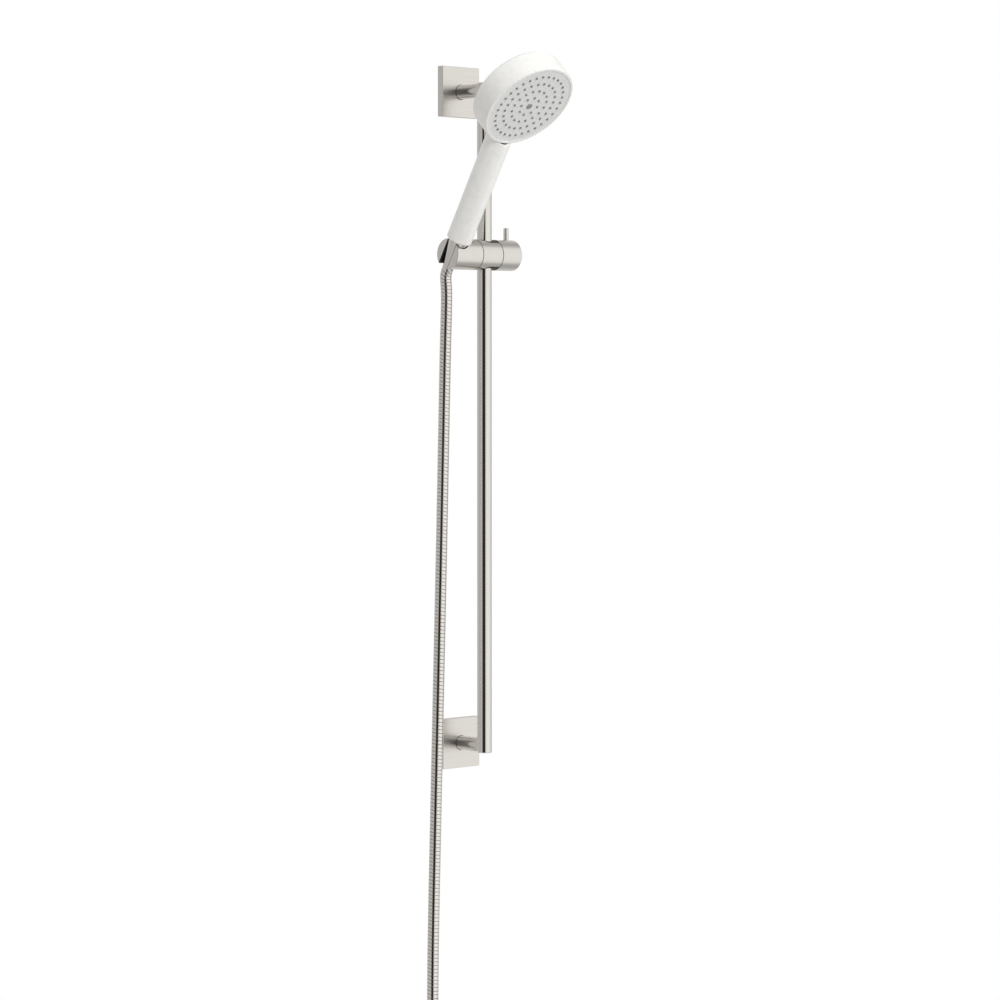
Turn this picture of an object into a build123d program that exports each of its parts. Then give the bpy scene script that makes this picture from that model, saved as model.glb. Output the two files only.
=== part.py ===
"""Wall-mounted slide-rail hand-shower set: rail on two brackets, sliding holder, hand shower and hose.

Millimetres. Origin on the wall, midway between the two wall screws; +X right along the wall,
-Y into the room, +Z up. The holder stands at its usual place on the rail, tilted towards the room.
"""
import os
from math import atan2, cos, degrees, pi, radians, sin, sqrt

from build123d import *

# ---------------------------------------------------------------- driving dimensions
# set-out
BRACKET_PITCH = 800.0      # between the two wall screws
RAIL_OFFSET = 50.0         # rail axis in front of the wall
SLIDER_Z = 200.0           # slider axis above the middle of the rail

# fits, all radial unless said
RUN_FIT = 0.08             # turning or sliding fit of metal parts
PART_GAP = 1.0             # seam between two parts of the slider
SEAT_GAP = 0.2             # between the hose nut's cone and the socket liner
FACE_GAP = 0.05            # between washers and the faces they run on

# rail
RAIL_D = 18.0
RAIL_WALL = 1.5
CAP_T = 1.2                # visible end disc of the rail plug
CAP_EDGE = 0.8
PLUG_L = 22.0              # plug inside the rail

# brackets
ARM_D = 18.0
ARM_SOCKET_D = 13.2
ARM_WEB_T = 9.0            # solid end of the arm, next to the rail, measured on its axis
ARM_SCREW_D = 6.0
ARM_HEAD_D = 10.0
ARM_HEAD_L = 4.0
ARM_SCREW_GRIP = 4.5       # thread inside the rail plug
BASE_D = 40.0
BASE_T = 4.0
SPIGOT_L = 16.0
WALL_SCREW_D = 5.5
WALL_HEAD_D = 9.6
WALL_HEAD_DEPTH = 5.0
GRUB_D = 5.0
GRUB_FROM_BASE = 7.0       # grub screw axis in front of the base disc
GRUB_GROOVE = 0.8
PLATE_SIDE = 61.5
PLATE_T = 9.0
PLATE_WALL = 2.0
PLATE_EDGE = 0.5
ARM_RING_GAP = 0.4         # the plate's hole stands off the arm and shows the cover ring behind it
RING_W = 2.6

# slider: holder, body and knob on one horizontal axis
SLIDER_D = 37.5
HOLDER_END = -62.0         # left end face
HOLDER_SEAM = -19.0
KNOB_SEAM = 14.6
KNOB_END = 46.5
END_ROUND = 0.8
RAIL_BORE_D = 24.0         # rail bore of the body, lined
NOTCH_FLOOR = 13.2         # notches above and below, from the bore to the knob, above the slider axis
LINER_SETBACK = 0.2
PAD_D = 10.0
PAD_END = 19.0
PAD_THREAD_D = 6.1
PAD_THREAD_FROM = 12.0
BOSS_D = 20.0
BOSS_END = 28.0
CHAMBER_D = 16.0
CHAMBER_FROM = 20.0
COLLAR_L = 3.3
SHAFT_D = 10.0
SHAFT_END = 41.0
LEVER_X = 36.8
LEVER_D = 6.5
LEVER_H = 14.7             # above the knob
LEVER_SEAT = 1.2           # spot face below the knob's top
LEVER_THREAD_D = 5.0
LEVER_THREAD_L = 18.0
AXLE_D = 8.0
AXLE_HEAD_D = 12.0
AXLE_HEAD_L = 3.5
AXLE_WEB_T = 7.5           # holder wall that turns on the axle
SPRING_H = 2.4
SEAM_WASHER_D = 36.5

# holder socket
SOCKET_X = -52.0           # socket axis along the slider
TILT = 30.0                # socket axis leans this far into the room
SLOT_W = 15.2              # between the liner's cheeks
SOCKET_LINER_T = 1.0
CHEEK_T = 0.8              # liner on the sides of the slot
SOCKET_SETBACK = 0.3
NUT_R_MID = 9.7            # nut cone radius where it crosses the slider axis
NUT_SLOPE = 0.14           # growth of that radius per mm towards the handset

# hand shower
HANDLE_CLEAR = 0.45        # between the handle's lower end and the slider
HANDLE_D0 = 31.2
HANDLE_D1 = 32.0
HANDLE_TO = 168.0          # where the handle is lost inside the head
HANDLE_BORE_D = 25.0
HANDLE_ROUND = 1.2
FACE_ALONG = 213.0         # middle of the spray face, along the socket axis
FACE_FORWARD = 28.0        # and in front of it
FACE_TILT = 15.5           # spray face turned down from the handle
HEAD_D = 119.0
RIM_DEPTH = 30.0
DOME_DEPTH = 8.5
DOME_FLAT_D = 76.0
SHELL_WALL = 2.5
RING_DEPTH = 2.6
RING_IN_D = 112.0
RING_CLEAR = 0.8           # shadow gap between the face ring and the handle
FACE_T = 2.6
FACE_INSET = 0.6
HOLE_D = 3.2
NOZZLE_D0 = 2.9
NOZZLE_D1 = 2.1
NOZZLE_OUT = 1.4
NOZZLE_RINGS = ((13.0, 8), (24.0, 16), (35.0, 24), (46.0, 32))
MAT_D = 106.0
MAT_T = 1.6
CHAMBER_R = 50.0
CHAMBER_WALL = 2.4
CHAMBER_DEPTH = 20.0
FACE_SCREW_D = 4.0
PILLAR_D = 10.0
TUBE_D = 12.0
TUBE_WALL = 1.3
INLET_THREAD_D = 19.8      # pitch diameter of a 1/2 in pipe thread
INLET_FROM = 10.6
INLET_TO = 36.0
INLET_BORE_D = 10.0
LIMITER_T = 3.0
WASHER_T = 2.1
WASHER_BORE_D = 11.6

# hose
HOSE_D = 14.0
NUT_SHOWS = 0.25           # the conical nut's lower end, below the slider
SLEEVE_D = 11.6
SLEEVE_BORE_D = 9.0
FLANGE_D = 18.0
FLANGE_T = 2.3
FLANGE_FROM = 6.0
COIL_R = 70.0              # middle of the turns
COIL_LAYERS = 2
COIL_X = 3.0
COIL_Z = -800.0
COIL_Y = -28.0             # first layer
TIE_W = 12.0
TIE_T = 1.5
TIE_SLACK = 0.4
LEAD_L = 25.0              # the last turn leaves the coil's front through this straight lead
CRIMP_D = 15.0
CRIMP_L = 10.0
END_FLANGE_FROM = 22.0     # flange of the lower sleeve, from the end of the lead
END_NUT_AF = 24.0          # across flats
END_NUT_FROM = 11.0
END_NUT_GRIP = 9.5         # threaded depth in front of the washer

HOSE_EXIT_RUN = 8.0        # straight out of the conical nut

# the free stretch of the hose below its first two points, which lie on the nut's axis
HOSE_ROUTE = [
    (-50.2, -34.5, 168.9),
    (-48.2, -33.9, 156.0),
    (-48.1, -33.5, 133.0),
    (-49.3, -32.9, 90.0),
    (-50.6, -31.8, 4.0),
    (-53.6, -30.6, -150.0),
    (-58.2, -29.6, -330.0),
    (-62.4, -28.6, -500.0),
    (-66.0, -28.0, -640.0),
    (-67.0, -28.0, -740.0),
]

# ---------------------------------------------------------------- derived places
HALF = BRACKET_PITCH / 2
RAIL_R = RAIL_D / 2
RAIL_HALF = HALF + ARM_D / 2            # rail ends flush with the arms
RAIL_BORE_R = RAIL_R - RAIL_WALL
SLIDER_R = SLIDER_D / 2
HANDLE_FROM = SLIDER_R + HANDLE_CLEAR   # along the socket axis
NUT_FROM = -SLIDER_R - NUT_SHOWS
NUT_TO = HANDLE_FROM - 0.5
SEAM_L = HOLDER_SEAM - PART_GAP / 2
SEAM_R = KNOB_SEAM + PART_GAP / 2
AXLE_HEAD_X = SEAM_L - AXLE_WEB_T - SPRING_H
AXLE_END = -RAIL_BORE_D / 2

SLIDE_AXIS = Axis((0, -RAIL_OFFSET, SLIDER_Z), (1, 0, 0))

# planes: x_at(x) looks along the slider, y_at(y, z) stands off the wall, z_at(z) crosses the rail
HAND = Plane(
    origin=(SOCKET_X, -RAIL_OFFSET, SLIDER_Z),
    x_dir=(1, 0, 0),
    z_dir=(0, -sin(radians(TILT)), cos(radians(TILT))),
)
HAND_SIDE = Plane(origin=HAND.origin, x_dir=HAND.x_dir, z_dir=-HAND.y_dir)   # local Y along the handle
HAND_AXIS = Axis(HAND.origin, HAND.z_dir)
FACE_CENTRE = HAND.from_local_coords((0, -FACE_FORWARD, FACE_ALONG))
FACE_DOWN = radians(TILT + FACE_TILT)
FACE = Plane(origin=FACE_CENTRE, x_dir=(1, 0, 0), z_dir=(0, -cos(FACE_DOWN), -sin(FACE_DOWN)))
FACE_SIDE = Plane(origin=FACE_CENTRE, x_dir=FACE.x_dir, z_dir=-FACE.y_dir)   # local Y out of the face
FACE_AXIS = Axis(FACE_CENTRE, FACE.z_dir)


def x_at(x):
    return Plane(origin=(x, -RAIL_OFFSET, SLIDER_Z), x_dir=(0, 1, 0), z_dir=(1, 0, 0))


def y_at(y, z):
    return Plane(origin=(0, y, z), x_dir=(1, 0, 0), z_dir=(0, -1, 0))


def z_at(z, x=0.0, y=-RAIL_OFFSET):
    return Plane(origin=(x, y, z), x_dir=(1, 0, 0), z_dir=(0, 0, 1))


def rod(plane, radius, length, mode=Mode.ADD):
    """A round bar on a plane, along its normal."""
    with BuildSketch(plane) as section:
        Circle(radius)
    extrude(section.sketch, amount=length, mode=mode)


def turned(plane, axis, points, mode=Mode.ADD):
    """A turned shape from a closed profile of (radius, along) points."""
    with BuildSketch(plane) as section:
        with BuildLine():
            Polyline(*points, close=True)
        make_face()
    revolve(section.sketch, axis=axis, mode=mode)


def nut_radius(s):
    return NUT_R_MID + NUT_SLOPE * s


os.makedirs("parts", exist_ok=True)
finished = []


def finish(part, name):
    part.label = name
    export_step(part, f"parts/{name}.step")
    finished.append(part)


# ---------------------------------------------------------------- rail
arm_screw_r = ARM_SCREW_D / 2
with BuildPart() as rail_tube:
    rod(z_at(CAP_T - RAIL_HALF), RAIL_R, 2 * (RAIL_HALF - CAP_T))
    rod(z_at(CAP_T - RAIL_HALF), RAIL_BORE_R, 2 * (RAIL_HALF - CAP_T), Mode.SUBTRACT)
    for z in (-HALF, HALF):
        rod(y_at(0, z), arm_screw_r, RAIL_OFFSET, Mode.SUBTRACT)
finish(rail_tube.part, "rail_tube")

for side, name in ((1, "rail_plug_upper"), (-1, "rail_plug_lower")):
    with BuildPart() as rail_plug:
        inner = z_at(side * (RAIL_HALF - CAP_T))
        rod(inner, RAIL_R, side * CAP_T)
        edge = rail_plug.edges().filter_by(GeomType.CIRCLE).sort_by(Axis.Z)[-1 if side > 0 else 0]
        chamfer(edge, CAP_EDGE)
        rod(inner, RAIL_BORE_R, -side * PLUG_L)
        rod(y_at(ARM_SCREW_GRIP - RAIL_OFFSET + RAIL_BORE_R, side * HALF), arm_screw_r,
            2 * ARM_SCREW_GRIP, Mode.SUBTRACT)
    finish(rail_plug.part, name)

# ---------------------------------------------------------------- brackets
web_y = -RAIL_OFFSET + RAIL_R + ARM_WEB_T
spigot_r = ARM_SOCKET_D / 2 - FACE_GAP
grub_y = -BASE_T - GRUB_FROM_BASE
arm_screws = []
grub_screws = []
cover_rings = []
for side, tag in ((1, "upper"), (-1, "lower")):
    z = side * HALF
    with BuildPart() as arm:
        rod(y_at(-BASE_T, z), ARM_D / 2, RAIL_OFFSET - BASE_T)
        rod(z_at(z - ARM_D), RAIL_R, 2 * ARM_D, Mode.SUBTRACT)
        rod(y_at(-BASE_T, z), ARM_SOCKET_D / 2, -web_y - BASE_T, Mode.SUBTRACT)
        rod(y_at(web_y, z), arm_screw_r, ARM_WEB_T + RAIL_R, Mode.SUBTRACT)
        rod(z_at(z, 0, grub_y), GRUB_D / 2, -ARM_D, Mode.SUBTRACT)
    finish(arm.part, f"arm_{tag}")

    with BuildPart() as mount_base:
        rod(y_at(0, z), BASE_D / 2, BASE_T)
        rod(y_at(-BASE_T, z), spigot_r, SPIGOT_L)
        rod(y_at(0, z), WALL_SCREW_D / 2, BASE_T + SPIGOT_L, Mode.SUBTRACT)
        rod(y_at(WALL_HEAD_DEPTH - BASE_T - SPIGOT_L, z), WALL_HEAD_D / 2, WALL_HEAD_DEPTH,
            Mode.SUBTRACT)
        groove_top = spigot_r - GRUB_GROOVE
        with BuildSketch(y_at(grub_y + GRUB_D / 2, z)):
            Circle(spigot_r + 1)
            Circle(groove_top, mode=Mode.SUBTRACT)
        extrude(amount=GRUB_D, mode=Mode.SUBTRACT)
    finish(mount_base.part, f"mount_base_{tag}")

    with BuildPart() as wall_plate:
        with BuildSketch(y_at(0, z)):
            Rectangle(PLATE_SIDE, PLATE_SIDE)
        extrude(amount=PLATE_T)
        fillet(wall_plate.edges().filter_by(Axis.Y), PLATE_EDGE)
        fillet(wall_plate.faces().sort_by(Axis.Y)[0].edges(), PLATE_EDGE)
        with BuildSketch(y_at(0, z)):
            Rectangle(PLATE_SIDE - 2 * PLATE_WALL, PLATE_SIDE - 2 * PLATE_WALL)
        extrude(amount=PLATE_T - PLATE_WALL, mode=Mode.SUBTRACT)
        rod(y_at(0, z), ARM_D / 2 + ARM_RING_GAP, PLATE_T, Mode.SUBTRACT)
    finish(wall_plate.part, f"wall_plate_{tag}")

    with BuildPart() as arm_screw:
        rod(y_at(web_y + ARM_HEAD_L, z), ARM_HEAD_D / 2, ARM_HEAD_L)
        with BuildSketch(y_at(web_y + ARM_HEAD_L, z)):
            RegularPolygon(ARM_SCREW_D / 2, 6)
        extrude(amount=ARM_HEAD_L / 2, mode=Mode.SUBTRACT)
        rod(y_at(web_y, z), arm_screw_r, web_y + RAIL_OFFSET - RAIL_BORE_R + ARM_SCREW_GRIP)
    arm_screws.append(arm_screw.part)

    with BuildPart() as grub_screw:
        grub_l = ARM_D / 2 - 0.4 - groove_top
        rod(z_at(z - groove_top, 0, grub_y), GRUB_D / 2, -grub_l)
        with BuildSketch(z_at(z - groove_top - grub_l, 0, grub_y)):
            RegularPolygon(GRUB_D / 4, 6)
        extrude(amount=grub_l / 2, mode=Mode.SUBTRACT)
    grub_screws.append(grub_screw.part)

    with BuildPart() as cover_ring:
        ring_y = -BASE_T - FACE_GAP
        ring_l = PLATE_T - PLATE_WALL - BASE_T - 2 * FACE_GAP
        rod(y_at(ring_y, z), ARM_D / 2 + RING_W, ring_l)
        rod(y_at(ring_y, z), ARM_D / 2, ring_l, Mode.SUBTRACT)
    cover_rings.append(cover_ring.part)

finish(Compound(arm_screws), "arm_screws")
finish(Compound(grub_screws), "grub_screws")
finish(Compound(cover_rings), "cover_rings")

# ---------------------------------------------------------------- slider body on the rail
body_x0 = HOLDER_SEAM + PART_GAP / 2
body_x1 = KNOB_SEAM - PART_GAP / 2
with BuildPart() as slider_body:
    rod(x_at(body_x0), SLIDER_R, body_x1 - body_x0)
    rod(z_at(SLIDER_Z - SLIDER_D), RAIL_BORE_D / 2, 2 * SLIDER_D, Mode.SUBTRACT)
    for side in (1, -1):
        with BuildSketch(z_at(SLIDER_Z + side * NOTCH_FLOOR, SLIDER_R)):
            Rectangle(2 * SLIDER_R, RAIL_BORE_D)
        extrude(amount=side * SLIDER_R, mode=Mode.SUBTRACT)
    rod(x_at(body_x1), BOSS_D / 2, BOSS_END - body_x1)
    rod(x_at(0), PAD_D / 2 + RUN_FIT, CHAMBER_FROM, Mode.SUBTRACT)
    rod(x_at(CHAMBER_FROM), CHAMBER_D / 2, BOSS_END - CHAMBER_FROM, Mode.SUBTRACT)
    rod(x_at(body_x0), AXLE_D / 2, -body_x0, Mode.SUBTRACT)
finish(slider_body.part, "slider_body")

with BuildPart() as rail_liner:
    rod(z_at(SLIDER_Z - SLIDER_R), RAIL_BORE_D / 2, SLIDER_D)
    for side in (1, -1):
        with BuildSketch(z_at(SLIDER_Z + side * NOTCH_FLOOR, body_x1 / 2)):
            Rectangle(body_x1, RAIL_BORE_D)
        extrude(amount=side * (SLIDER_R - NOTCH_FLOOR))
    rod(x_at(-SLIDER_R), SLIDER_R - LINER_SETBACK, SLIDER_R + body_x1, Mode.INTERSECT)
    rod(z_at(SLIDER_Z - SLIDER_R), RAIL_R + RUN_FIT, SLIDER_D, Mode.SUBTRACT)
    rod(x_at(0), PAD_D / 2 + RUN_FIT, RAIL_BORE_D, Mode.SUBTRACT)
finish(rail_liner.part, "rail_liner")

with BuildPart() as clamp_pad:
    rod(x_at(0), PAD_D / 2, PAD_END)
    rod(z_at(SLIDER_Z - PAD_D), RAIL_R + FACE_GAP, 2 * PAD_D, Mode.SUBTRACT)
    rod(x_at(PAD_THREAD_FROM), PAD_THREAD_D / 2, PAD_END - PAD_THREAD_FROM, Mode.SUBTRACT)
finish(clamp_pad.part, "clamp_pad")

collar_x = CHAMBER_FROM + 0.4
nut_x = collar_x + COLLAR_L + 0.3
with BuildPart() as gland_nut:
    rod(x_at(nut_x), CHAMBER_D / 2, BOSS_END - nut_x)
    rod(x_at(nut_x), SHAFT_D / 2 + RUN_FIT, BOSS_END - nut_x, Mode.SUBTRACT)
    for side in (-1, 1):
        with BuildSketch(x_at(BOSS_END)):
            with Locations((side * (SHAFT_D + CHAMBER_D) / 4, 0)):
                Circle(0.8)
        extrude(amount=-1.5, mode=Mode.SUBTRACT)
finish(gland_nut.part, "gland_nut")

with BuildPart() as tilt_axle:
    rod(x_at(AXLE_HEAD_X - AXLE_HEAD_L), AXLE_HEAD_D / 2, AXLE_HEAD_L)
    with BuildSketch(x_at(AXLE_HEAD_X - AXLE_HEAD_L)):
        RegularPolygon(AXLE_D / 2.6, 6)
    extrude(amount=AXLE_HEAD_L * 0.7, mode=Mode.SUBTRACT)
    rod(x_at(AXLE_HEAD_X), AXLE_D / 2, AXLE_END - AXLE_HEAD_X)
    rod(z_at(SLIDER_Z - AXLE_D), RAIL_BORE_D / 2, 2 * AXLE_D, Mode.SUBTRACT)
finish(tilt_axle.part, "tilt_axle")

with BuildPart() as disc_spring:
    r_in = AXLE_D / 2 + RUN_FIT
    r_out = AXLE_HEAD_D / 2 - RUN_FIT
    turned(
        Plane(origin=SLIDE_AXIS.position, x_dir=(0, 0, 1), z_dir=(0, 1, 0)),
        SLIDE_AXIS,
        [
            (r_in, AXLE_HEAD_X + FACE_GAP),
            (r_out, AXLE_HEAD_X + SPRING_H - 0.8),
            (r_out, AXLE_HEAD_X + SPRING_H - FACE_GAP),
            (r_in, AXLE_HEAD_X + 0.8),
        ],
    )
finish(disc_spring.part, "disc_spring")

for name, seam, inner_r in (
    ("seam_washer", SEAM_L, AXLE_D / 2 + RUN_FIT),
    ("knob_washer", body_x1, BOSS_D / 2 + RUN_FIT),
):
    with BuildPart() as washer:
        rod(x_at(seam + FACE_GAP), SEAM_WASHER_D / 2, PART_GAP - 2 * FACE_GAP)
        rod(x_at(seam + FACE_GAP), inner_r, PART_GAP, Mode.SUBTRACT)
    finish(washer.part, name)

# ---------------------------------------------------------------- clamp knob
shaft_from = collar_x + COLLAR_L
with BuildPart() as clamp_spindle:
    rod(x_at(PAD_THREAD_FROM + 1.0), PAD_THREAD_D / 2 - FACE_GAP, collar_x - PAD_THREAD_FROM - 1.0)
    rod(x_at(collar_x), CHAMBER_D / 2 - RUN_FIT, COLLAR_L)
    rod(x_at(shaft_from), SHAFT_D / 2, SHAFT_END - shaft_from)
    rod(z_at(SLIDER_Z + SLIDER_R, LEVER_X), LEVER_THREAD_D / 2, -LEVER_THREAD_L - LEVER_SEAT,
        Mode.SUBTRACT)
finish(clamp_spindle.part, "clamp_spindle")

lever_foot = SLIDER_Z + SLIDER_R - LEVER_SEAT
with BuildPart() as clamp_knob:
    rod(x_at(SEAM_R), SLIDER_R, KNOB_END - SEAM_R)
    fillet(clamp_knob.edges().sort_by(Axis.X)[-1], END_ROUND)
    rod(x_at(SEAM_R), BOSS_D / 2 + 4 * RUN_FIT, BOSS_END + PART_GAP - SEAM_R, Mode.SUBTRACT)
    rod(x_at(SEAM_R), SHAFT_D / 2, SHAFT_END - SEAM_R, Mode.SUBTRACT)
    rod(z_at(lever_foot, LEVER_X), LEVER_D / 2 + FACE_GAP, SLIDER_R, Mode.SUBTRACT)
    rod(z_at(lever_foot, LEVER_X), LEVER_THREAD_D / 2, LEVER_SEAT - SLIDER_R, Mode.SUBTRACT)
finish(clamp_knob.part, "clamp_knob")

with BuildPart() as lever_pin:
    rod(z_at(lever_foot, LEVER_X), LEVER_D / 2, LEVER_SEAT + LEVER_H)
    chamfer(lever_pin.edges().sort_by(Axis.Z)[-1], 0.4)
    rod(z_at(lever_foot, LEVER_X), LEVER_THREAD_D / 2, -LEVER_THREAD_L)
finish(lever_pin.part, "lever_pin")

# ---------------------------------------------------------------- holder with its slotted conical socket
SOCKET_REACH = SLIDER_D


def socket_cut(wall, slot, mode):
    """The conical bore and its slot, this much larger than the nut, from end to end of the holder."""
    lower_r = nut_radius(-SOCKET_REACH) + wall
    upper_r = nut_radius(SOCKET_REACH) + wall
    with BuildPart(mode=Mode.PRIVATE) as cut:
        turned(HAND_SIDE, HAND_AXIS, [
            (0, -SOCKET_REACH), (lower_r, -SOCKET_REACH), (upper_r, SOCKET_REACH), (0, SOCKET_REACH),
        ])
        with BuildSketch(HAND.offset(-SOCKET_REACH)) as opening:
            with Locations((HOLDER_END - SOCKET_X, 0)):
                Rectangle(2 * (SOCKET_X - HOLDER_END), slot)
        extrude(opening.sketch, amount=2 * SOCKET_REACH)
    add(cut.part, mode=mode)


with BuildPart() as holder_body:
    rod(x_at(HOLDER_END), SLIDER_R, SEAM_L - HOLDER_END)
    fillet(holder_body.edges().sort_by(Axis.X)[0], END_ROUND)
    socket_cut(SEAT_GAP + SOCKET_LINER_T, SLOT_W + 2 * CHEEK_T, Mode.SUBTRACT)
    rod(x_at(SOCKET_X), AXLE_HEAD_D / 2 + 4 * RUN_FIT, SEAM_L - AXLE_WEB_T - SOCKET_X, Mode.SUBTRACT)
    rod(x_at(SOCKET_X), AXLE_D / 2 + RUN_FIT, SEAM_L - SOCKET_X, Mode.SUBTRACT)
finish(holder_body.part, "holder_body")

with BuildPart() as socket_liner:
    rod(x_at(HOLDER_END + SOCKET_SETBACK), SLIDER_R - SOCKET_SETBACK, SEAM_L - HOLDER_END)
    socket_cut(SEAT_GAP + SOCKET_LINER_T, SLOT_W + 2 * CHEEK_T, Mode.INTERSECT)
    socket_cut(SEAT_GAP, SLOT_W, Mode.SUBTRACT)
finish(socket_liner.part, "socket_liner")

# ---------------------------------------------------------------- hand shower
rim_r = HEAD_D / 2
handle_bore_r = HANDLE_BORE_D / 2
inner_r = rim_r - SHELL_WALL
with BuildPart() as handset_shell:
    turned(HAND_SIDE, HAND_AXIS, [
        (0, HANDLE_FROM),
        (HANDLE_D0 / 2 - HANDLE_ROUND, HANDLE_FROM),
        (HANDLE_D0 / 2, HANDLE_FROM + HANDLE_ROUND),
        (HANDLE_D1 / 2, HANDLE_TO),
        (0, HANDLE_TO),
    ])
    with BuildSketch(FACE_SIDE):
        with BuildLine():
            Polyline((0, -RING_DEPTH), (rim_r, -RING_DEPTH), (rim_r, -RIM_DEPTH))
            ThreePointArc(
                (rim_r, -RIM_DEPTH),
                (rim_r - 7.0, -RIM_DEPTH - 0.72 * DOME_DEPTH),
                (DOME_FLAT_D / 2, -RIM_DEPTH - DOME_DEPTH),
            )
            Polyline((DOME_FLAT_D / 2, -RIM_DEPTH - DOME_DEPTH), (0, -RIM_DEPTH - DOME_DEPTH),
                     (0, -RING_DEPTH))
        make_face()
    revolve(axis=FACE_AXIS)
    turned(FACE_SIDE, FACE_AXIS, [
        (0, 0), (inner_r, 0), (inner_r, -RIM_DEPTH), (DOME_FLAT_D / 2, SHELL_WALL - RIM_DEPTH - DOME_DEPTH),
        (0, SHELL_WALL - RIM_DEPTH - DOME_DEPTH),
    ], Mode.SUBTRACT)
    rod(HAND.offset(HANDLE_FROM), handle_bore_r, HANDLE_TO - HANDLE_FROM - 2, Mode.SUBTRACT)
    # the handle's top is scalloped round the face ring
    rod(FACE.offset(-RING_DEPTH), rim_r + RING_CLEAR, 2 * RING_DEPTH + HANDLE_D1, Mode.SUBTRACT)
finish(handset_shell.part, "handset_shell")

with BuildPart() as face_ring:
    turned(FACE_SIDE, FACE_AXIS, [
        (RING_IN_D / 2, 0), (rim_r - 1.4, 0), (rim_r - 0.4, -0.4), (rim_r, -1.4), (rim_r, -RING_DEPTH),
        (RING_IN_D / 2, -RING_DEPTH),
    ])
finish(face_ring.part, "face_ring")

nozzle_places = [
    (radius * cos(2 * pi * i / count), radius * sin(2 * pi * i / count))
    for radius, count in NOZZLE_RINGS
    for i in range(count)
]
with BuildPart() as spray_face:
    rod(FACE.offset(-FACE_INSET), RING_IN_D / 2, -FACE_T)
    with BuildSketch(FACE.offset(-FACE_INSET)):
        with Locations(*nozzle_places):
            Circle(HOLE_D / 2)
        Circle(FACE_SCREW_D / 2 + RUN_FIT)
    extrude(amount=-FACE_T, mode=Mode.SUBTRACT)
finish(spray_face.part, "spray_face")

mat_top = -FACE_INSET - FACE_T
with BuildPart() as nozzle_mat:
    rod(FACE.offset(mat_top), MAT_D / 2, -MAT_T)
    with BuildSketch(FACE.offset(mat_top)):
        with Locations(*nozzle_places):
            Circle(NOZZLE_D0 / 2)
    taper = degrees(atan2((NOZZLE_D0 - NOZZLE_D1) / 2, FACE_T + NOZZLE_OUT))
    extrude(amount=FACE_T + NOZZLE_OUT, taper=taper)
    rod(FACE.offset(mat_top), PILLAR_D / 2, -MAT_T, Mode.SUBTRACT)
finish(nozzle_mat.part, "nozzle_mat")

chamber_top = mat_top - MAT_T
tube_end = HANDLE_TO + 4.0
with BuildPart() as water_chamber:
    turned(FACE_SIDE, FACE_AXIS, [
        (0, chamber_top - CHAMBER_DEPTH), (CHAMBER_R, chamber_top - CHAMBER_DEPTH),
        (CHAMBER_R, chamber_top), (CHAMBER_R - CHAMBER_WALL, chamber_top),
        (CHAMBER_R - CHAMBER_WALL, chamber_top - CHAMBER_DEPTH + CHAMBER_WALL),
        (PILLAR_D / 2, chamber_top - CHAMBER_DEPTH + CHAMBER_WALL),
        (PILLAR_D / 2, mat_top), (0, mat_top),
    ])
    rod(FACE.offset(mat_top), FACE_SCREW_D / 2, -MAT_T - CHAMBER_DEPTH + CHAMBER_WALL, Mode.SUBTRACT)
    rod(HAND.offset(HANDLE_FROM), TUBE_D / 2, tube_end - HANDLE_FROM, Mode.SUBTRACT)
finish(water_chamber.part, "water_chamber")

with BuildPart() as face_screw:
    rod(FACE.offset(-FACE_INSET + 0.8), FACE_SCREW_D, -0.8)
    fillet(face_screw.edges().sort_by(FACE_AXIS)[-1], 0.5)
    rod(FACE.offset(-FACE_INSET), FACE_SCREW_D / 2, -FACE_T - MAT_T - CHAMBER_DEPTH + CHAMBER_WALL)
finish(face_screw.part, "face_screw")

with BuildPart() as water_tube:
    tube_from = INLET_TO - 6.0
    rod(HAND.offset(tube_from), TUBE_D / 2, tube_end - tube_from)
    rod(HAND.offset(tube_from), TUBE_D / 2 - TUBE_WALL, tube_end - tube_from, Mode.SUBTRACT)
finish(water_tube.part, "water_tube")

with BuildPart() as inlet_spigot:
    rod(HAND.offset(INLET_FROM), INLET_THREAD_D / 2, HANDLE_FROM - INLET_FROM)
    rod(HAND.offset(HANDLE_FROM), handle_bore_r, INLET_TO - HANDLE_FROM)
    rod(HAND.offset(INLET_FROM), INLET_BORE_D / 2, INLET_TO - INLET_FROM, Mode.SUBTRACT)
    rod(HAND.offset(tube_from), TUBE_D / 2, INLET_TO - tube_from, Mode.SUBTRACT)
finish(inlet_spigot.part, "inlet_spigot")

with BuildPart() as flow_limiter:
    rod(HAND.offset(INLET_FROM + 1.0), INLET_BORE_D / 2, LIMITER_T)
    with BuildSketch(HAND.offset(INLET_FROM + 1.0)):
        with PolarLocations(INLET_BORE_D / 4, 6):
            Circle(0.9)
    extrude(amount=LIMITER_T, mode=Mode.SUBTRACT)
finish(flow_limiter.part, "flow_limiter")

with BuildPart() as inlet_washer:
    rod(HAND.offset(INLET_FROM - WASHER_T), INLET_THREAD_D / 2 - 0.3, WASHER_T)
    rod(HAND.offset(INLET_FROM - WASHER_T), WASHER_BORE_D / 2, WASHER_T, Mode.SUBTRACT)
finish(inlet_washer.part, "inlet_washer")

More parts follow.
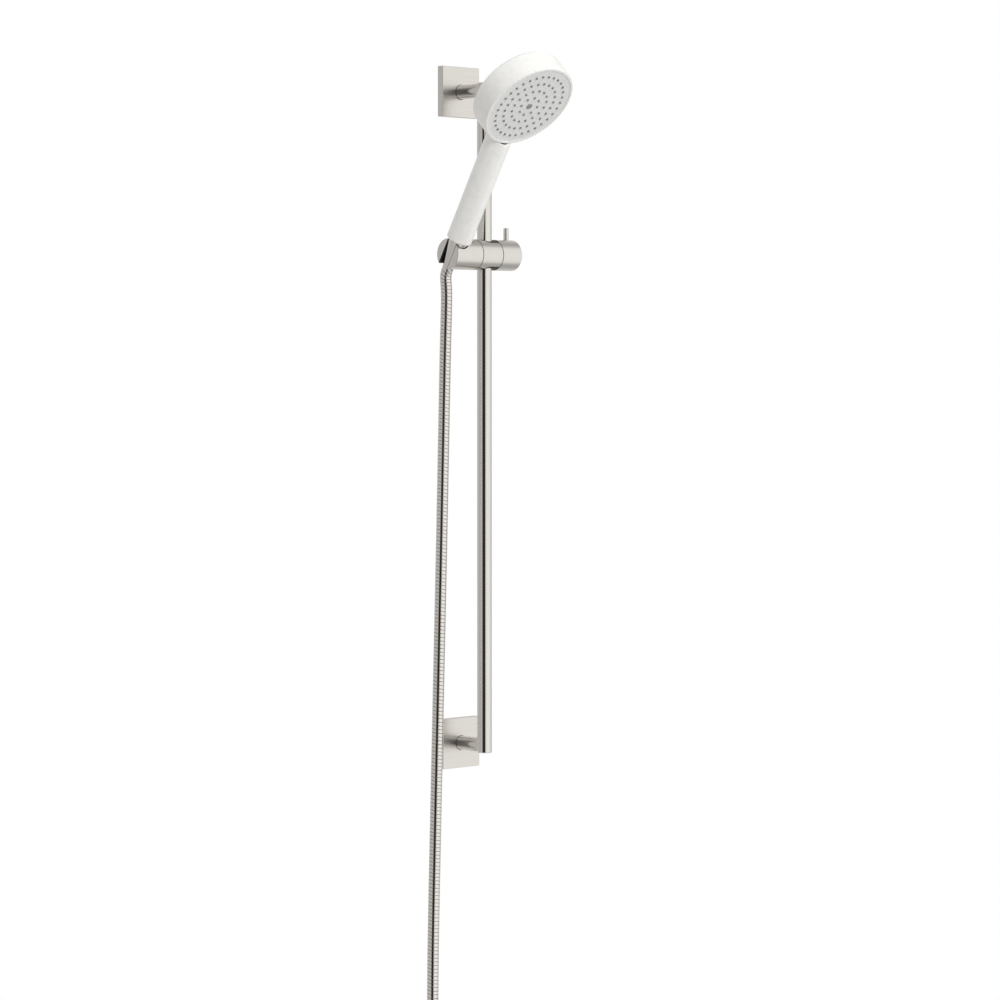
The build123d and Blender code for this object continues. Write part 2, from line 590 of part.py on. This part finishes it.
# ---------------------------------------------------------------- hose end in the holder
flange_space = INLET_FROM - WASHER_T
with BuildPart() as hose_nut:
    turned(HAND_SIDE, HAND_AXIS, [
        (SLEEVE_D / 2 + RUN_FIT, NUT_FROM),
        (nut_radius(NUT_FROM), NUT_FROM),
        (nut_radius(NUT_TO), NUT_TO),
        (INLET_THREAD_D / 2, NUT_TO),
        (INLET_THREAD_D / 2, flange_space),
        (FLANGE_D / 2 + 2 * RUN_FIT, flange_space),
        (FLANGE_D / 2 + 2 * RUN_FIT, FLANGE_FROM - FACE_GAP),
        (SLEEVE_D / 2 + RUN_FIT, FLANGE_FROM - FACE_GAP),
    ])
finish(hose_nut.part, "hose_nut")

with BuildPart() as hose_ferrule:
    turned(HAND_SIDE, HAND_AXIS, [
        (SLEEVE_BORE_D / 2, NUT_FROM),
        (SLEEVE_D / 2, NUT_FROM),
        (SLEEVE_D / 2, FLANGE_FROM),
        (FLANGE_D / 2, FLANGE_FROM),
        (FLANGE_D / 2, FLANGE_FROM + FLANGE_T),
        (SLEEVE_BORE_D / 2, FLANGE_FROM + FLANGE_T),
    ])
finish(hose_ferrule.part, "hose_ferrule")

# ---------------------------------------------------------------- hose
points = [HAND.from_local_coords((0, 0, s)) for s in (NUT_FROM, NUT_FROM - HOSE_EXIT_RUN)]
points += [Vector(*p) for p in HOSE_ROUTE]
runs = [b - a for a, b in zip(points, points[1:])]
radii = []
for a, b in zip(runs, runs[1:]):
    turn = radians(a.get_angle(b))
    radii.append(0.45 * min(a.length, b.length) / (sin(turn / 2) / cos(turn / 2)))
print("hose radii", [round(r) for r in radii])
with BuildPart() as hose_tube:
    with BuildLine() as route:
        FilletPolyline(*points, radius=radii)
    with BuildSketch(Plane(origin=points[0], z_dir=runs[0])):
        Circle(HOSE_D / 2)
    sweep()
finish(hose_tube.part, "hose_tube")
print("hose stretch", round(route.wires()[0].length, 1), "mm; volume share",
      round(hose_tube.part.volume / (route.wires()[0].length * pi * HOSE_D ** 2 / 4), 4))

# the put-away length: a round coil that hangs below, its turns one in front of the other
coil_back = COIL_Y + HOSE_D / 2
coil_depth = COIL_LAYERS * HOSE_D
coil_front = coil_back - coil_depth
stub_h = HOSE_ROUTE[-1][2] - COIL_Z
end_y = coil_front - END_NUT_AF / sqrt(3) - TIE_SLACK
end_z = COIL_Z + COIL_R
with BuildPart() as hose_coil:
    with BuildSketch(Plane(origin=(COIL_X, coil_back, COIL_Z), x_dir=(1, 0, 0), z_dir=(0, -1, 0))):
        Circle(COIL_R + HOSE_D / 2)
        Circle(COIL_R - HOSE_D / 2, mode=Mode.SUBTRACT)
    extrude(amount=coil_depth)
    rod(z_at(COIL_Z, COIL_X - COIL_R, COIL_Y), HOSE_D / 2, stub_h)
    with BuildSketch(Plane(origin=(COIL_X, end_y, end_z), x_dir=(0, 1, 0), z_dir=(1, 0, 0))):
        with Locations(((coil_front - end_y) / 2, 0)):
            Rectangle(coil_front - end_y + HOSE_D, HOSE_D)
    extrude(amount=LEAD_L)
finish(hose_coil.part, "hose_coil")

with BuildPart() as coil_tie:
    with BuildSketch(Plane(origin=(COIL_X, 0, COIL_Z - TIE_W / 2), x_dir=(1, 0, 0), z_dir=(0, 0, 1))):
        with Locations((COIL_R, (coil_back + coil_front) / 2)):
            Rectangle(HOSE_D + 2 * TIE_SLACK + 2 * TIE_T, coil_depth + 2 * TIE_T)
            Rectangle(HOSE_D + 2 * TIE_SLACK, coil_depth, mode=Mode.SUBTRACT)
    extrude(amount=TIE_W)
finish(coil_tie.part, "coil_tie")

# the lower fitting lies in front of the coil's top and points left
END = Plane(origin=(COIL_X, end_y, end_z), x_dir=(0, 1, 0), z_dir=(-1, 0, 0))
END_SIDE = Plane(origin=END.origin, x_dir=END.x_dir, z_dir=-END.y_dir)
END_AXIS = Axis(END.origin, END.z_dir)
end_washer_from = END_FLANGE_FROM + FLANGE_T + 0.2
end_mouth = end_washer_from + WASHER_T + END_NUT_GRIP
with BuildPart() as end_sleeve:
    turned(END_SIDE, END_AXIS, [
        (SLEEVE_BORE_D / 2, 0), (CRIMP_D / 2, 0), (CRIMP_D / 2, CRIMP_L), (SLEEVE_D / 2, CRIMP_L),
        (SLEEVE_D / 2, END_FLANGE_FROM), (FLANGE_D / 2, END_FLANGE_FROM),
        (FLANGE_D / 2, END_FLANGE_FROM + FLANGE_T), (SLEEVE_BORE_D / 2, END_FLANGE_FROM + FLANGE_T),
    ])
finish(end_sleeve.part, "end_sleeve")

with BuildPart() as end_nut:
    with BuildSketch(END.offset(END_NUT_FROM)):
        RegularPolygon(END_NUT_AF / sqrt(3), 6)
    extrude(amount=end_mouth - END_NUT_FROM)
    chamfer(end_nut.edges().filter_by(Axis.X, reverse=True), 0.6)
    rod(END.offset(END_NUT_FROM), SLEEVE_D / 2 + RUN_FIT, end_mouth - END_NUT_FROM, Mode.SUBTRACT)
    rod(END.offset(END_FLANGE_FROM - FACE_GAP), FLANGE_D / 2 + 2 * RUN_FIT, end_mouth - END_FLANGE_FROM,
        Mode.SUBTRACT)
    rod(END.offset(end_washer_from), INLET_THREAD_D / 2 - 0.2, WASHER_T, Mode.SUBTRACT)
    rod(END.offset(end_washer_from + WASHER_T), INLET_THREAD_D / 2, END_NUT_GRIP, Mode.SUBTRACT)
finish(end_nut.part, "end_nut")

with BuildPart() as end_washer:
    rod(END.offset(end_washer_from), INLET_THREAD_D / 2 - 0.3, WASHER_T)
    rod(END.offset(end_washer_from), WASHER_BORE_D / 2, WASHER_T, Mode.SUBTRACT)
finish(end_washer.part, "end_washer")

print(len(finished), "sub-parts")
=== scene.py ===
# %% [markdown]
# # A slide-rail hand shower
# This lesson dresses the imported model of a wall-mounted hand-shower rail. The model already has every
# piece in its true size and place, in metres, with the wall at Y = 0 and the room on the -Y side.
# Here it gets its camera, its light, its corrugated hose and a finish for every piece.

# %% Start from the frame
from math import ceil, cos, pi, radians, sin

import bmesh
import bpy
from mathutils import Matrix, Vector


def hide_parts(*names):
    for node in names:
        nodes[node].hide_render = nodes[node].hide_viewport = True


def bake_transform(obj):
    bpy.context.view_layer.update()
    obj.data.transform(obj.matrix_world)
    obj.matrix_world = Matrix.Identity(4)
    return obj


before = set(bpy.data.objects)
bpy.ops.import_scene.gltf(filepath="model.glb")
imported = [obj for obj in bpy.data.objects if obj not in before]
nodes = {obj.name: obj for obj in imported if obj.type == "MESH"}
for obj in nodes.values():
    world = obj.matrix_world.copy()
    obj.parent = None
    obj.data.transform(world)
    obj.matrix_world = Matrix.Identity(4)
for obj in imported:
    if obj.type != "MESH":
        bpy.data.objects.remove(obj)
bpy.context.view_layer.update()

scene = bpy.context.scene
print("pieces in the frame:", len(nodes))

# %% [markdown]
# ## The camera
# The set is seen from about the height of the slider, a good four metres off, with a long lens, so the
# rail stays nearly parallel. The camera is set by its line of sight and the point it looks at: that is
# easier to read, and to change, than three turned angles.

# %% Camera
HEADING = radians(44.193)   # the line of sight turns from +Y towards +X
PITCH = radians(2.186)      # and looks this far down
DISTANCE = 4.26826
AIM = Vector((0.03861, -0.03754, -0.10046))
SENSOR = 36.0               # mm
FOCAL_LENGTH = 124.59       # mm

sight = Vector((sin(HEADING) * cos(PITCH), cos(HEADING) * cos(PITCH), -sin(PITCH)))
lens = bpy.data.cameras.new("camera")
lens.sensor_width = SENSOR
lens.lens = FOCAL_LENGTH
camera = bpy.data.objects.new("camera", lens)
camera.matrix_world = (
    Matrix.Translation(AIM - DISTANCE * sight) @ sight.to_track_quat("-Z", "Y").to_matrix().to_4x4()
)
scene.collection.objects.link(camera)
scene.camera = camera
scene.view_settings.view_transform = "Standard"
print("camera stands at", [round(x, 3) for x in camera.matrix_world.translation])

# %% [markdown]
# ## The hose
# A shower hose is a strip of steel wound into a helix round a rubber tube. It hangs from the conical
# nut, drifts a little behind the rail and ends in a spare coil. One smooth NURBS line carries it, which
# sags like the real thing although its control points are few. Those of the straight stretch are listed
# one by one. The first ones lie on the nut's axis, so the hose leaves it straight.

# %% Straight stretch of the hose
HOSE_DIAMETER = 0.014
NUT_END = Vector((-0.052, -0.0405, 0.183546))

hose_points = [
    NUT_END,
    Vector((-0.0520, -0.0365, 0.176618)),
    Vector((-0.0502, -0.0345, 0.1689)),
    Vector((-0.0482, -0.0339, 0.1560)),
    Vector((-0.0481, -0.0335, 0.1330)),
    Vector((-0.0493, -0.0329, 0.0900)),
    Vector((-0.0506, -0.0318, 0.0040)),
    Vector((-0.0536, -0.0306, -0.1500)),
    Vector((-0.0582, -0.0296, -0.3300)),
    Vector((-0.0624, -0.0286, -0.5000)),
    Vector((-0.0660, -0.0280, -0.6400)),
    Vector((-0.0670, -0.0280, -0.7400)),
]
print("straight stretch:", len(hose_points), "control points")

# %% [markdown]
# ## The spare coil
# What the hose has too much of is wound up and tied: just over a turn and a half in two layers, one in
# front of the other, and then a lead that runs to the lower fitting. The points come from a loop, because
# they lie on a circle. A NURBS line runs inside its control points, so these stand outside that circle.

# %% Coil of the hose
COIL_CENTRE = Vector((0.003, -0.028, -0.800))
COIL_RADIUS = 0.070
COIL_POINTS = 27
STEPS_PER_TURN = 16
SECOND_LAYER = -0.042
LEAD_LAYER = -0.0632564
TO_SECOND_LAYER = (0.72, 1.00)   # turns over which the hose moves forward
TO_LEAD = (1.42, 1.70)           # and forward again
LEAD_X = (0.029, 0.016, 0.003)


def between(low, high, value):
    """0 at low, 1 at high, held outside them."""
    return min(1.0, max(0.0, (value - low) / (high - low)))


outer_radius = COIL_RADIUS / cos(pi / STEPS_PER_TURN)
for i in range(COIL_POINTS):
    turn = (i + 0.5) / STEPS_PER_TURN
    angle = pi + 2 * pi * turn
    layer = COIL_CENTRE.y
    layer += (SECOND_LAYER - COIL_CENTRE.y) * between(*TO_SECOND_LAYER, turn)
    layer += (LEAD_LAYER - SECOND_LAYER) * between(*TO_LEAD, turn)
    hose_points.append(
        Vector((COIL_CENTRE.x + outer_radius * cos(angle), layer, COIL_CENTRE.z + outer_radius * sin(angle)))
    )
lead_height = COIL_CENTRE.z + COIL_RADIUS
hose_points += [Vector((x, LEAD_LAYER, lead_height)) for x in LEAD_X]
print("with its coil:", len(hose_points), "control points")

# %% [markdown]
# ## The line itself
# Blender works a NURBS line out from its control points. A passing curve object does that here, and the
# points it gives are kept as the path that the tube will be wrapped round.

# %% Smooth line
LINE_STEPS = 24             # points read from the line for each control point


def smooth_line(points):
    """The points of the NURBS line that these control points pull."""
    curve = bpy.data.curves.new("line", "CURVE")
    curve.dimensions = "3D"
    spline = curve.splines.new("NURBS")
    spline.points.add(len(points) - 1)
    for knot, place in zip(spline.points, points):
        knot.co = (*place, 1.0)
    spline.order_u = 3
    spline.use_endpoint_u = True
    spline.resolution_u = LINE_STEPS
    holder = bpy.data.objects.new("line", curve)
    scene.collection.objects.link(holder)
    mesh = bpy.data.meshes.new_from_object(holder)
    line = [v.co.copy() for v in mesh.vertices]
    bpy.data.objects.remove(holder)
    bpy.data.curves.remove(curve)
    bpy.data.meshes.remove(mesh)
    return line


hose_line = smooth_line(hose_points)
hose_run = sum((b - a).length for a, b in zip(hose_line, hose_line[1:]))
print("hose line:", len(hose_line), "points,", round(hose_run, 3), "m")

# %% [markdown]
# ## Ribs of the hose
# Each winding of the strip shows as a flat crown, 4.5 mm from the next, with a narrow groove between
# them; the shade in the groove is painted on. The windings climb round the hose, so the radius at a point
# depends on how far along and how far round it lies.

# %% Shape of a rib
RIB_PITCH = 0.0045
RIB_DEPTH = 0.0009
CROWN_FLATNESS = 20         # a power: the higher it is, the narrower the groove


def rib_radius(along, around):
    """Radius at a place along (in ribs) and around (in turns)."""
    phase = (along + around) % 1.0
    return HOSE_DIAMETER / 2 - RIB_DEPTH * abs(2 * phase - 1) ** CROWN_FLATNESS


ribs = hose_run / RIB_PITCH
print("hose has", round(ribs), "ribs")

# %% [markdown]
# ## Rings along the line
# The tube is built of rings at even distances. Each ring needs its centre and two sides square to the
# line. The sides are carried from ring to ring and only tilted with the line, so the tube doesn't twist.

# %% Places of the rings
RINGS_PER_RIB = 12


def stations(line, count):
    """Evenly spaced (centre, side, side) frames along the line, carried without twist."""
    lengths = [0.0]
    for a, b in zip(line, line[1:]):
        lengths.append(lengths[-1] + (b - a).length)
    side = (line[1] - line[0]).orthogonal().normalized()
    found = []
    i = 0
    for k in range(count + 1):
        at = lengths[-1] * k / count
        while i < len(line) - 2 and lengths[i + 1] < at:
            i += 1
        share = (at - lengths[i]) / (lengths[i + 1] - lengths[i])
        ahead = line[min(i + 2, len(line) - 1)] - line[max(i - 1, 0)]
        ahead.normalize()
        side = (side - ahead * side.dot(ahead)).normalized()
        found.append((line[i].lerp(line[i + 1], share), side.copy(), ahead.cross(side)))
    return found


hose_rings = stations(hose_line, ceil(ribs * RINGS_PER_RIB))
print("hose has", len(hose_rings), "rings")

# %% [markdown]
# ## Wrapping the tube
# A flat grid is wrapped round the line: one side of the grid runs along the hose, the other goes round it
# once. The seam where the grid meets itself is then welded, both ends are closed, and every face turns
# outwards. Faces in the grooves get the second of the hose's two finishes: a dark colour, painted shade
# for the shade that falls in the grooves.

# %% Corrugated tube
HOSE_SIDES = 16
GROOVE_SHADE_SHARE = 0.17         # part of each pitch painted dark as groove shade
WELD = 1e-6                 # corners nearer than this are joined


def wrap_hose(name, rings):
    """A closed ribbed tube over these rings."""
    count = len(rings) - 1
    shape = bmesh.new()
    bmesh.ops.create_grid(shape, x_segments=count, y_segments=HOSE_SIDES, size=0.5)
    # finish 0 is the bright strip and finish 1 the painted shade in the grooves
    for face in shape.faces:
        middle = face.calc_center_median()
        phase = (ribs * (middle.x + 0.5) + middle.y + 0.5) % 1.0
        face.material_index = int(min(phase, 1 - phase) < GROOVE_SHADE_SHARE / 2)
    for vert in shape.verts:
        k = round((vert.co.x + 0.5) * count)
        around = vert.co.y + 0.5
        centre, side, other = rings[k]
        radius = rib_radius(ribs * k / count, around)
        angle = 2 * pi * around
        vert.co = centre + radius * (cos(angle) * side + sin(angle) * other)
    bmesh.ops.remove_doubles(shape, verts=shape.verts, dist=WELD)
    bmesh.ops.holes_fill(shape, edges=[e for e in shape.edges if e.is_boundary])
    bmesh.ops.recalc_face_normals(shape, faces=shape.faces)
    for face in shape.faces:
        face.smooth = len(face.verts) == 4
    mesh = bpy.data.meshes.new(name)
    shape.to_mesh(mesh)
    shape.free()
    piece = bpy.data.objects.new(name, mesh)
    scene.collection.objects.link(piece)
    return piece


hose = wrap_hose("hose", hose_rings)
print("hose has", len(hose.data.polygons), "faces")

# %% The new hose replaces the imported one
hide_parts("hose_tube", "hose_coil")
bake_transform(hose)

# %% [markdown]
# ## Colour and node tools
# Colours are written as sRGB hex codes, as in a paint program, and turned to linear light by one function,
# because Blender's sockets take linear numbers. A second function adds a node with its settings and links.

# %% Colours and nodes
def linear(hex_code):
    """sRGB hex to linear light, as a four-number colour."""
    parts = [int(hex_code[i:i + 2], 16) / 255 for i in (1, 3, 5)]
    return [c / 12.92 if c <= 0.04045 else ((c + 0.055) / 1.055) ** 2.4 for c in parts] + [1.0]


def add(tree, kind, settings=(), values=(), links=()):
    """A node with its settings, the values of its own sockets, and what its sockets are joined to."""
    made = tree.nodes.new(kind)
    for key, value in dict(settings).items():
        setattr(made, key, value)
    for key, value in dict(values).items():
        made.inputs[key].default_value = value
    for key, socket in dict(links).items():
        tree.links.new(socket, made.inputs[key])
    return made


print("mid grey #808080 is", round(linear("#808080")[0], 3), "in linear light")

# %% [markdown]
# ## One recipe for every finish
# No real surface is quite even. Each finish mixes two close colours and two roughness values by a noise
# whose grain is given in millimetres, and a bump comes from the same noise. A long thin grain gives
# brushed metal, a round one gives moulded plastic.

# %% Finish of a piece
NOISE_LOW, NOISE_HIGH = 0.3, 0.7   # nearly all of the noise lies between these
NOISE_DETAIL = 3.0
NOISE_ROUGHNESS = 0.55


def surface(name, deep, light, grain, rough, metal, bump, extra=()):
    """A finish. grain is the pattern's size along X, Y and Z in mm, and bump its height in mm."""
    material = bpy.data.materials.new(name)
    material.use_nodes = True
    tree = material.node_tree
    tree.nodes.clear()
    place = add(tree, "ShaderNodeTexCoord")
    scaled = add(tree, "ShaderNodeMapping", values={"Scale": [1000 / g for g in grain]},
                 links={"Vector": place.outputs["Object"]})
    noise = add(tree, "ShaderNodeTexNoise", links={"Vector": scaled.outputs[0]},
                values={"Scale": 1.0, "Detail": NOISE_DETAIL, "Roughness": NOISE_ROUGHNESS})
    ramp = add(tree, "ShaderNodeValToRGB", links={"Fac": noise.outputs[0]})
    ramp.color_ramp.elements[0].position = NOISE_LOW
    ramp.color_ramp.elements[0].color = linear(deep)
    ramp.color_ramp.elements[1].position = NOISE_HIGH
    ramp.color_ramp.elements[1].color = linear(light)
    gloss = add(tree, "ShaderNodeMapRange", values={"From Min": NOISE_LOW, "From Max": NOISE_HIGH,
                "To Min": rough[0], "To Max": rough[1]}, links={"Value": noise.outputs[0]})
    relief = add(tree, "ShaderNodeBump", values={"Strength": 1.0, "Distance": bump / 1000},
                 links={"Height": noise.outputs[0]})
    shader = add(tree, "ShaderNodeBsdfPrincipled", values={"Metallic": metal, **dict(extra)}, links={
        "Base Color": ramp.outputs[0], "Roughness": gloss.outputs[0], "Normal": relief.outputs[0]})
    add(tree, "ShaderNodeOutputMaterial", links={"Surface": shader.outputs[0]})
    return material


def dress(material, *names):
    """Gives one finish to CAD nodes."""
    for n in names:
        mesh = nodes[n].data
        mesh.materials.clear()
        mesh.materials.append(material)
    print(material.name, "on", len(names), "pieces")


# %% [markdown]
# ## Brushed nickel
# The rail, brackets and slider are brass or steel plated with nickel and brushed with a fine belt, which
# leaves hair-thin lines and a warm grey, silky gloss. The lines follow the way each piece was turned or
# pulled past the belt, so each group has its own direction. Real lines are under 0.1 mm apart; they are
# drawn 0.5 mm apart so that they can be seen at all.

# %% Nickel finishes
NICKEL_DEEP = "#E1DEDA"
NICKEL_LIGHT = "#EAE7E4"
BRUSH = 0.5
LONG = 60.0


def nickel(name, grain, rough=(0.09, 0.13), bump=0.0004):
    return surface(name, NICKEL_DEEP, NICKEL_LIGHT, grain, rough, metal=1.0, bump=bump)


drawn_nickel = nickel("nickel_drawn_along_rail", (BRUSH, BRUSH, LONG))
slider_nickel = nickel("nickel_turned_on_slider", (BRUSH, LONG, LONG), (0.2, 0.25))
arm_nickel = nickel("nickel_turned_on_arms", (LONG, BRUSH, LONG), (0.12, 0.16))
plate_nickel = nickel("nickel_brushed_plates", (LONG, LONG, BRUSH), (0.27, 0.31), 0.0001)
pin_nickel = nickel("nickel_turned_on_pin", (LONG, LONG, BRUSH))
dress(drawn_nickel, "rail_tube", "rail_plug_upper", "rail_plug_lower")
dress(slider_nickel, "slider_body", "clamp_knob", "holder_body", "end_nut")
dress(arm_nickel, "arm_upper", "arm_lower")
dress(plate_nickel, "wall_plate_upper", "wall_plate_lower")
dress(pin_nickel, "lever_pin", "hose_nut")

# %% [markdown]
# ## Other metals
# The mount bases and screws are plain turned steel, the hidden fittings raw turned brass. The hose is
# stainless strip, rolled smooth and left bright, and the grooves between its windings get a dark colour:
# painted shade.

# %% Steel, brass and hose strip
turned_steel = surface("steel_turned", "#B9B9BA", "#C9C9CA", (0.8, 0.8, 6.0), (0.25, 0.35), 1.0, 0.002)
dress(turned_steel, "mount_base_upper", "mount_base_lower", "arm_screws", "grub_screws", "tilt_axle",
      "disc_spring", "face_screw")
raw_brass = surface("brass_turned", "#C9A455", "#D8B566", (0.6, 0.6, 5.0), (0.22, 0.34), 1.0, 0.002)
dress(raw_brass, "clamp_spindle", "gland_nut", "hose_ferrule", "end_sleeve", "inlet_spigot")
hose_strip = surface("stainless_hose_strip", "#E6E2DD", "#F0EDE9", (1.2, 1.2, 1.2), (0.09, 0.14), 1.0, 0.0004)
# the groove finish is painted shade: a dark colour that stands for the shade falling in the grooves
hose_groove_painted_shade = surface("hose_groove_painted_shade", "#83807B", "#8F8C87", (1.2, 1.2, 1.2), (0.3, 0.36), 1.0, 0.0004)
hose.data.materials.append(hose_strip)
hose.data.materials.append(hose_groove_painted_shade)

# %% [markdown]
# ## Plastics and rubber
# The hand shower is moulded in white ABS with a high gloss, and its spray face in a satin ABS a shade
# greyer. Nozzles are silicone, the rail liner and the clamp pad are black acetal, which is naturally
# slippery, and the washers are black rubber. Each has the faint unevenness of its mould.

# %% Plastic and rubber finishes
white_abs = surface("white_gloss_abs", "#F4F4F2", "#FAFAF8", (9.0, 9.0, 9.0), (0.16, 0.22), 0.0, 0.01,
                    extra={"IOR": 1.53})
dress(white_abs, "handset_shell", "face_ring")
face_abs = surface("satin_face_abs", "#E6E7E7", "#EEEFEF", (2.0, 2.0, 2.0), (0.3, 0.38), 0.0, 0.01,
                   extra={"IOR": 1.53})
dress(face_abs, "spray_face")
nozzle_silicone = surface("silicone_nozzles", "#8F9396", "#9DA1A4", (1.5, 1.5, 1.5), (0.5, 0.6), 0.0, 0.02,
                          extra={"IOR": 1.41})
dress(nozzle_silicone, "nozzle_mat")
inner_abs = surface("natural_inner_abs", "#D9D7CF", "#E3E1DA", (3.0, 3.0, 3.0), (0.45, 0.55), 0.0, 0.02,
                    extra={"IOR": 1.53})
dress(inner_abs, "water_chamber", "water_tube")
black_acetal = surface("black_acetal", "#17181A", "#202123", (2.5, 2.5, 2.5), (0.35, 0.45), 0.0, 0.02,
                       extra={"IOR": 1.48})
dress(black_acetal, "rail_liner", "clamp_pad", "seam_washer", "knob_washer", "socket_liner",
      "flow_limiter")
black_rubber = surface("black_rubber", "#121212", "#1C1C1C", (1.0, 1.0, 1.0), (0.6, 0.75), 0.0, 0.03,
                       extra={"IOR": 1.52})
dress(black_rubber, "cover_rings", "inlet_washer", "end_washer", "coil_tie")

# %% [markdown]
# ## Studio
# Polished metal shows the room it stands in, so the room is designed first. The world is a round soft
# studio: bright to the right of the camera, a mid grey to the left, and dark round the camera itself,
# which draws the thin dark line down every tube. A colour ramp holds the brightness of the wall all the
# way round, and the bearing of each ray is looked up in it.

# %% Walls of the studio
# degrees to the right of the camera, as seen from the object, and the brightness there
ROOM = [(-180, 0.66), (-135, 0.60), (-104, 0.54), (-81, 0.50), (-61, 0.54), (-41, 0.58), (-29, 0.12),
        (-14, 0.004), (4, 0.01), (11, 0.14), (19, 0.72), (32, 0.93), (54, 1.00), (94, 0.93), (121, 0.66),
        (150, 0.62), (180, 0.66)]
WARMTH = (1.0, 0.985, 0.96)


def grey(value):
    return [value * tint for tint in WARMTH] + [1.0]


world = bpy.data.worlds.new("studio")
scene.world = world
world.use_nodes = True
sky = world.node_tree
sky.nodes.clear()
ray = add(sky, "ShaderNodeTexCoord").outputs["Generated"]
to_right = add(sky, "ShaderNodeVectorMath", {"operation": "DOT_PRODUCT"},
               {1: (cos(HEADING), -sin(HEADING), 0)}, {0: ray}).outputs["Value"]
to_camera = add(sky, "ShaderNodeVectorMath", {"operation": "DOT_PRODUCT"},
                {1: (-sin(HEADING), -cos(HEADING), 0)}, {0: ray}).outputs["Value"]
bearing = add(sky, "ShaderNodeMath", {"operation": "ARCTAN2"}, links={0: to_right, 1: to_camera})
turned = add(sky, "ShaderNodeMapRange", values={"From Min": -pi, "From Max": pi},
             links={"Value": bearing.outputs[0]})
walls = add(sky, "ShaderNodeValToRGB", links={"Fac": turned.outputs[0]})
walls.color_ramp.interpolation = "EASE"
for _ in ROOM[2:]:
    walls.color_ramp.elements.new(0.5)
for stop, (degree, _) in zip(walls.color_ramp.elements, ROOM):
    stop.position = (degree + 180) / 360
for stop, (_, value) in zip(walls.color_ramp.elements, ROOM):
    stop.color = grey(value)
print("walls have", len(walls.color_ramp.elements), "shades")

# %% [markdown]
# ## Ceiling, ground and background
# High and low rays leave the wall for a grey ceiling and a grey ground, each with a soft edge. What the
# camera sees straight on is not this room but plain white, as on a catalogue page.

# %% Ceiling, ground and background
TOP_LIGHT = 0.38
GROUND_LIGHT = 0.36
TOP_FROM, TOP_TO = 0.60, 0.76            # height of the ray where the wall fades into the ceiling
GROUND_FROM, GROUND_TO = -0.58, -0.76    # and into the ground
MIX_FACTOR, MIX_A, MIX_B, MIX_OUT = 0, 6, 7, 2   # colour sockets of a Mix node

height = add(sky, "ShaderNodeSeparateXYZ", links={0: ray}).outputs["Z"]
up = add(sky, "ShaderNodeMapRange", {"interpolation_type": "SMOOTHSTEP"},
         {"From Min": TOP_FROM, "From Max": TOP_TO}, {"Value": height})
down = add(sky, "ShaderNodeMapRange", {"interpolation_type": "SMOOTHSTEP"},
           {"From Min": GROUND_FROM, "From Max": GROUND_TO}, {"Value": height})
with_top = add(sky, "ShaderNodeMix", {"data_type": "RGBA"}, {MIX_B: grey(TOP_LIGHT)},
               {MIX_FACTOR: up.outputs[0], MIX_A: walls.outputs[0]}).outputs[MIX_OUT]
room = add(sky, "ShaderNodeMix", {"data_type": "RGBA"}, {MIX_B: grey(GROUND_LIGHT)},
           {MIX_FACTOR: down.outputs[0], MIX_A: with_top}).outputs[MIX_OUT]
seen = add(sky, "ShaderNodeLightPath").outputs["Is Camera Ray"]
shown = add(sky, "ShaderNodeMix", {"data_type": "RGBA"}, {MIX_B: (1.0, 1.0, 1.0, 1.0)},
            {MIX_FACTOR: seen, MIX_A: room}).outputs[MIX_OUT]
light = add(sky, "ShaderNodeBackground", values={"Strength": 1.0}, links={"Color": shown})
add(sky, "ShaderNodeOutputWorld", links={"Surface": light.outputs[0]})
print("studio has", len(sky.nodes), "nodes")

# %% [markdown]
# ## Soft lamps
# The room alone leaves the white plastic flat. Three large square lamps shape it: a key from the right, a
# weak fill from the left and one from above. Mirrors can't see them, so the metal keeps its quiet look.

# %% Soft lamps
LAMP_DISTANCE = 3.0


def softbox(name, degree, lift, size, power):
    """A square lamp, seen from the object at this bearing and height angle, that mirrors don't show."""
    lamp = bpy.data.lights.new(name, "AREA")
    lamp.shape = "SQUARE"
    lamp.size = size
    lamp.energy = power
    bearing_angle = radians(degree)
    level = (sin(bearing_angle) * Vector((cos(HEADING), -sin(HEADING), 0))
             + cos(bearing_angle) * Vector((-sin(HEADING), -cos(HEADING), 0)))
    towards = cos(radians(lift)) * level + Vector((0, 0, sin(radians(lift))))
    thing = bpy.data.objects.new(name, lamp)
    thing.matrix_world = (Matrix.Translation(AIM + LAMP_DISTANCE * towards)
                          @ (-towards).to_track_quat("-Z", "Y").to_matrix().to_4x4())
    thing.visible_glossy = False
    scene.collection.objects.link(thing)


softbox("key", degree=35, lift=25, size=1.6, power=35)
softbox("fill", degree=-60, lift=10, size=1.6, power=14)
softbox("top", degree=0, lift=80, size=1.8, power=18)
print("lamps:", len(bpy.data.lights))

# %% [markdown]
# ## Floor
# A pale disc lies well below the set.

# %% Floor
FLOOR_LEVEL = -1.5      # below the coil when the slider is at its lowest
FLOOR_RADIUS = 1.0
FLOOR_SIDES = 96
disc = bmesh.new()
bmesh.ops.create_circle(disc, cap_ends=True, segments=FLOOR_SIDES, radius=FLOOR_RADIUS)
bmesh.ops.translate(disc, verts=disc.verts, vec=(0, 0, FLOOR_LEVEL))
floor_mesh = bpy.data.meshes.new("floor")
disc.to_mesh(floor_mesh)
disc.free()
floor = bpy.data.objects.new("floor", floor_mesh)
scene.collection.objects.link(floor)
floor.data.materials.append(surface("pale_floor", "#F2F2F1", "#F6F6F5", (40, 40, 40), (0.8, 0.9), 0.0, 0.01))
print("floor at", FLOOR_LEVEL, "m")
